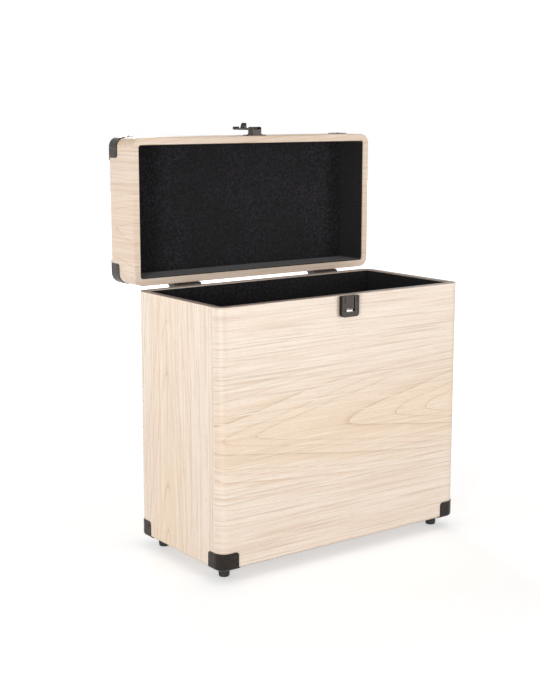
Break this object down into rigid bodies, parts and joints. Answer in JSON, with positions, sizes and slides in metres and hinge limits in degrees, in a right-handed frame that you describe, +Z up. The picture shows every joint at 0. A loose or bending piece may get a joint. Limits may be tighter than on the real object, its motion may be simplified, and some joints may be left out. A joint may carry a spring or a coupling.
{
  "type": "record carrying case",
  "caption": "Upright record carrying case with a deep lined body, a shallow stop-hinged lid, a hasp that turns over a front catch, corner protectors, rubber feet and a swinging handle.",
  "frame": {"origin": "on the floor under the middle of the box round the open case", "axes": "+X to the right along the front, +Y from the front to the hinges, +Z up"},
  "size_m": [0.3732, 0.2632, 0.522],
  "materials": {
    "wrapped_board": "satin wood-grain film over board",
    "lining": "matt felted lining",
    "foot_rubber": "matt",
    "corner_steel": "semi-gloss black",
    "black_steel": "semi-gloss black",
    "fastener_steel": "semi-gloss black",
    "pin_steel": "semi-gloss black",
    "keeper_steel": "bright plated",
    "grip_plastic": "matt moulded"
  },
  "bodies": {
    "case_body": {"body_front_panel": "wrapped_board", "body_back_panel": "wrapped_board", "body_left_panel": "wrapped_board", "body_right_panel": "wrapped_board", "body_bottom_panel": "wrapped_board", "body_wall_lining": "lining", "body_floor_lining": "lining", "front_left_foot": "foot_rubber", "front_right_foot": "foot_rubber", "back_left_foot": "foot_rubber", "back_right_foot": "foot_rubber", "foot_screws": "fastener_steel", "body_front_left_corner": "corner_steel", "body_front_right_corner": "corner_steel", "body_back_left_corner": "corner_steel", "body_back_right_corner": "corner_steel", "body_corner_nails": "fastener_steel", "left_hinge_body_leaf": "black_steel", "right_hinge_body_leaf": "black_steel", "left_hinge_pin": "pin_steel", "right_hinge_pin": "pin_steel", "hinge_body_screws": "fastener_steel", "catch_housing": "black_steel", "catch_keeper": "keeper_steel", "catch_rivets": "fastener_steel"},
    "lid": {"lid_front_panel": "wrapped_board", "lid_back_panel": "wrapped_board", "lid_left_panel": "wrapped_board", "lid_right_panel": "wrapped_board", "lid_top_panel": "wrapped_board", "lid_wall_lining": "lining", "lid_top_lining": "lining", "lid_front_left_corner": "corner_steel", "lid_front_right_corner": "corner_steel", "lid_back_left_corner": "corner_steel", "lid_back_right_corner": "corner_steel", "lid_corner_nails": "fastener_steel", "left_hinge_lid_leaf": "black_steel", "right_hinge_lid_leaf": "black_steel", "hinge_lid_screws": "fastener_steel", "hasp_base": "black_steel", "hasp_rivets": "fastener_steel", "hasp_pin": "pin_steel", "left_handle_bracket": "black_steel", "right_handle_bracket": "black_steel", "handle_rivets": "fastener_steel", "left_handle_pin": "pin_steel", "right_handle_pin": "pin_steel"},
    "hasp": {"hasp_arm": "black_steel"},
    "handle": {"handle_bail": "black_steel", "handle_grip": "grip_plastic"}
  },
  "joints": [
    {"name": "lid_hinge", "type": "hinge", "parent": "case_body", "child": "lid", "pos_m": [0, 0.05792, 0.32315], "axis": [1, 0, 0], "range_deg": [0, 90]},
    {"name": "hasp_pivot", "type": "hinge", "parent": "lid", "child": "hasp", "pos_m": [0, 0.06507, 0.51485], "axis": [1, 0, 0], "range_deg": [0, 180]},
    {"name": "handle_swing", "type": "hinge", "parent": "lid", "child": "handle", "pos_m": [0, 0.12408, 0.41605], "axis": [1, 0, 0], "range_deg": [0, 180]}
  ]
}
